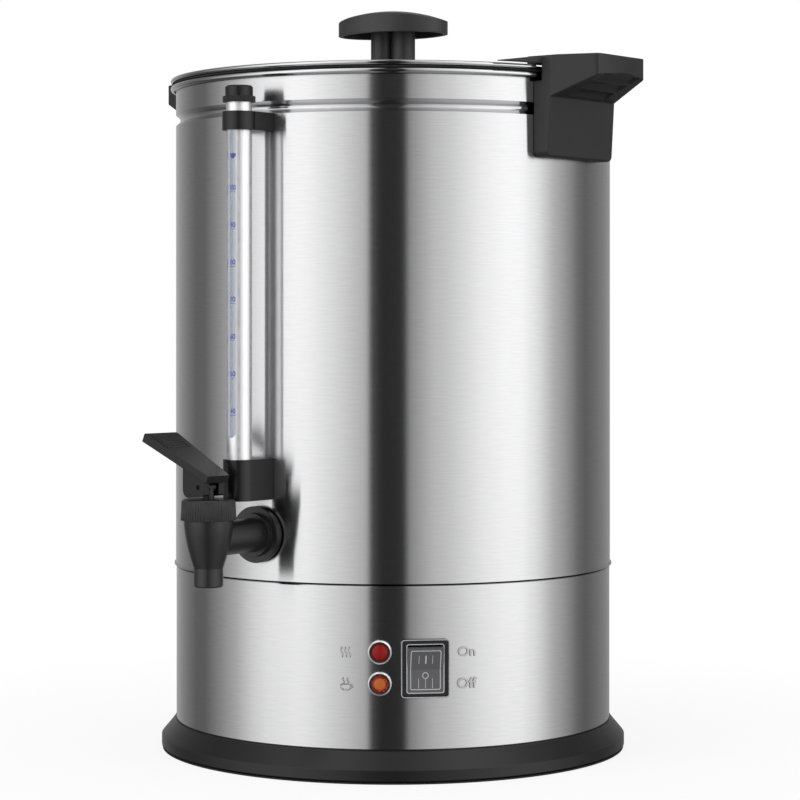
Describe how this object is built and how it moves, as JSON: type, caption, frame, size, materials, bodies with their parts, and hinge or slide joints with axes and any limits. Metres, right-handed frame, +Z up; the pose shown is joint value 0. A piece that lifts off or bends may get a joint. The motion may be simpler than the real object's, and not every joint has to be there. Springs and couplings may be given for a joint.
{
  "type": "coffee urn",
  "caption": "Tall cylindrical steel hot drink urn with a lever tap, sight gauge, twist-and-lift lid, side handles and a control band at its base.",
  "frame": {"origin": "on the urn's axis, at the surface that it stands on", "axes": "+Z up along the urn's axis; the tap faces -Y; +X is to the right of the tap, towards the switch"},
  "size_m": [0.3778, 0.3737, 0.4997],
  "materials": {
    "brushed_steel": "fine horizontal brushing",
    "plain_steel": "plain pressed sheet",
    "polished_steel": "polished",
    "black_plastic": "satin moulded",
    "switch_plastic": "semi-gloss moulded",
    "red_lens": "clear moulded lens over a red lamp",
    "amber_lens": "clear moulded lens over an amber lamp",
    "glass_tube": "clear drawn glass",
    "silicone": "translucent silicone",
    "black_rubber": "matte",
    "cast_aluminium": "as cast",
    "heater_alloy": "dull grey-green oxide"
  },
  "bodies": {
    "urn": {"base_ring": "black_plastic", "base_plate": "plain_steel", "base_screws": "plain_steel", "rubber_foot": "black_rubber", "lower_band": "brushed_steel", "tie_rod": "plain_steel", "tank_shell": "brushed_steel", "tank_floor": "plain_steel", "heater_plate": "cast_aluminium", "heating_tube": "heater_alloy", "thermostats": "switch_plastic", "inlet_socket": "black_plastic", "inlet_pins": "polished_steel", "switch_frame": "switch_plastic", "lamp_rings": "polished_steel", "heating_lens": "red_lens", "warm_lens": "amber_lens", "lamp_bodies": "switch_plastic", "tap_body": "black_plastic", "tap_washers": "silicone", "tap_nut": "plain_steel", "tap_collar": "black_plastic", "tap_spring": "plain_steel", "gauge_block": "black_plastic", "gauge_nut": "plain_steel", "gauge_seal": "silicone", "gauge_glass": "glass_tube", "gauge_shield": "polished_steel", "gauge_clip": "black_plastic", "gauge_screw": "plain_steel", "handle_right": "black_plastic", "handle_left": "black_plastic", "handle_screws": "plain_steel"},
    "lid_ring": {"lid_seal": "black_rubber"},
    "lid": {"lid": "brushed_steel", "knob": "black_plastic", "knob_screws": "plain_steel"},
    "brewer": {"pump_base": "plain_steel", "pump_tube": "plain_steel", "coffee_basket": "plain_steel", "basket_cover": "plain_steel"},
    "stem": {"tap_stem": "black_plastic", "tap_seal": "silicone"},
    "lever": {"tap_lever": "black_plastic", "lever_pin": "plain_steel"},
    "rocker": {"rocker": "switch_plastic"},
    "cap": {"gauge_cap": "black_plastic"}
  },
  "joints": [
    {"name": "lid_turn", "type": "hinge", "parent": "urn", "child": "lid_ring", "pos_m": [0, 0, 0.448], "axis": [0, 0, -1], "range_deg": [0, 45]},
    {"name": "lid_lift", "type": "slide", "parent": "lid_ring", "child": "lid", "axis": [0, 0, 1], "range_m": [0, 0.4]},
    {"name": "brew_lift", "type": "slide", "parent": "urn", "child": "brewer", "axis": [0, 0, 1], "range_m": [0, 0.34]},
    {"name": "stem_lift", "type": "slide", "parent": "urn", "child": "stem", "axis": [0, 0, 1], "range_m": [0, 0.0046], "deforming": ["tap_spring"]},
    {"name": "tap_lever", "type": "hinge", "parent": "stem", "child": "lever", "pos_m": [0, -0.1989, 0.1859], "axis": [-0.1392, -0.9903, 0], "range_deg": [0, 30], "stiffness_Nm_per_rad": 0.12, "springref_deg": -28.65},
    {"name": "switch_rocker", "type": "hinge", "parent": "urn", "child": "rocker", "pos_m": [0.09979, -0.10739, 0.0711], "axis": [-0.7325, -0.6807, 0], "range_deg": [0, 16]},
    {"name": "cap_turn", "type": "hinge", "parent": "urn", "child": "cap", "pos_m": [0, -0.1686, 0.43], "axis": [0, 0, 1], "range_deg": [0, 360]}
  ],
  "couplings": [
    {"joint": "brew_lift", "follows": "lid_lift", "ratio": 0.85},
    {"joint": "stem_lift", "follows": "tap_lever", "m_per_rad": 0.008594}
  ]
}
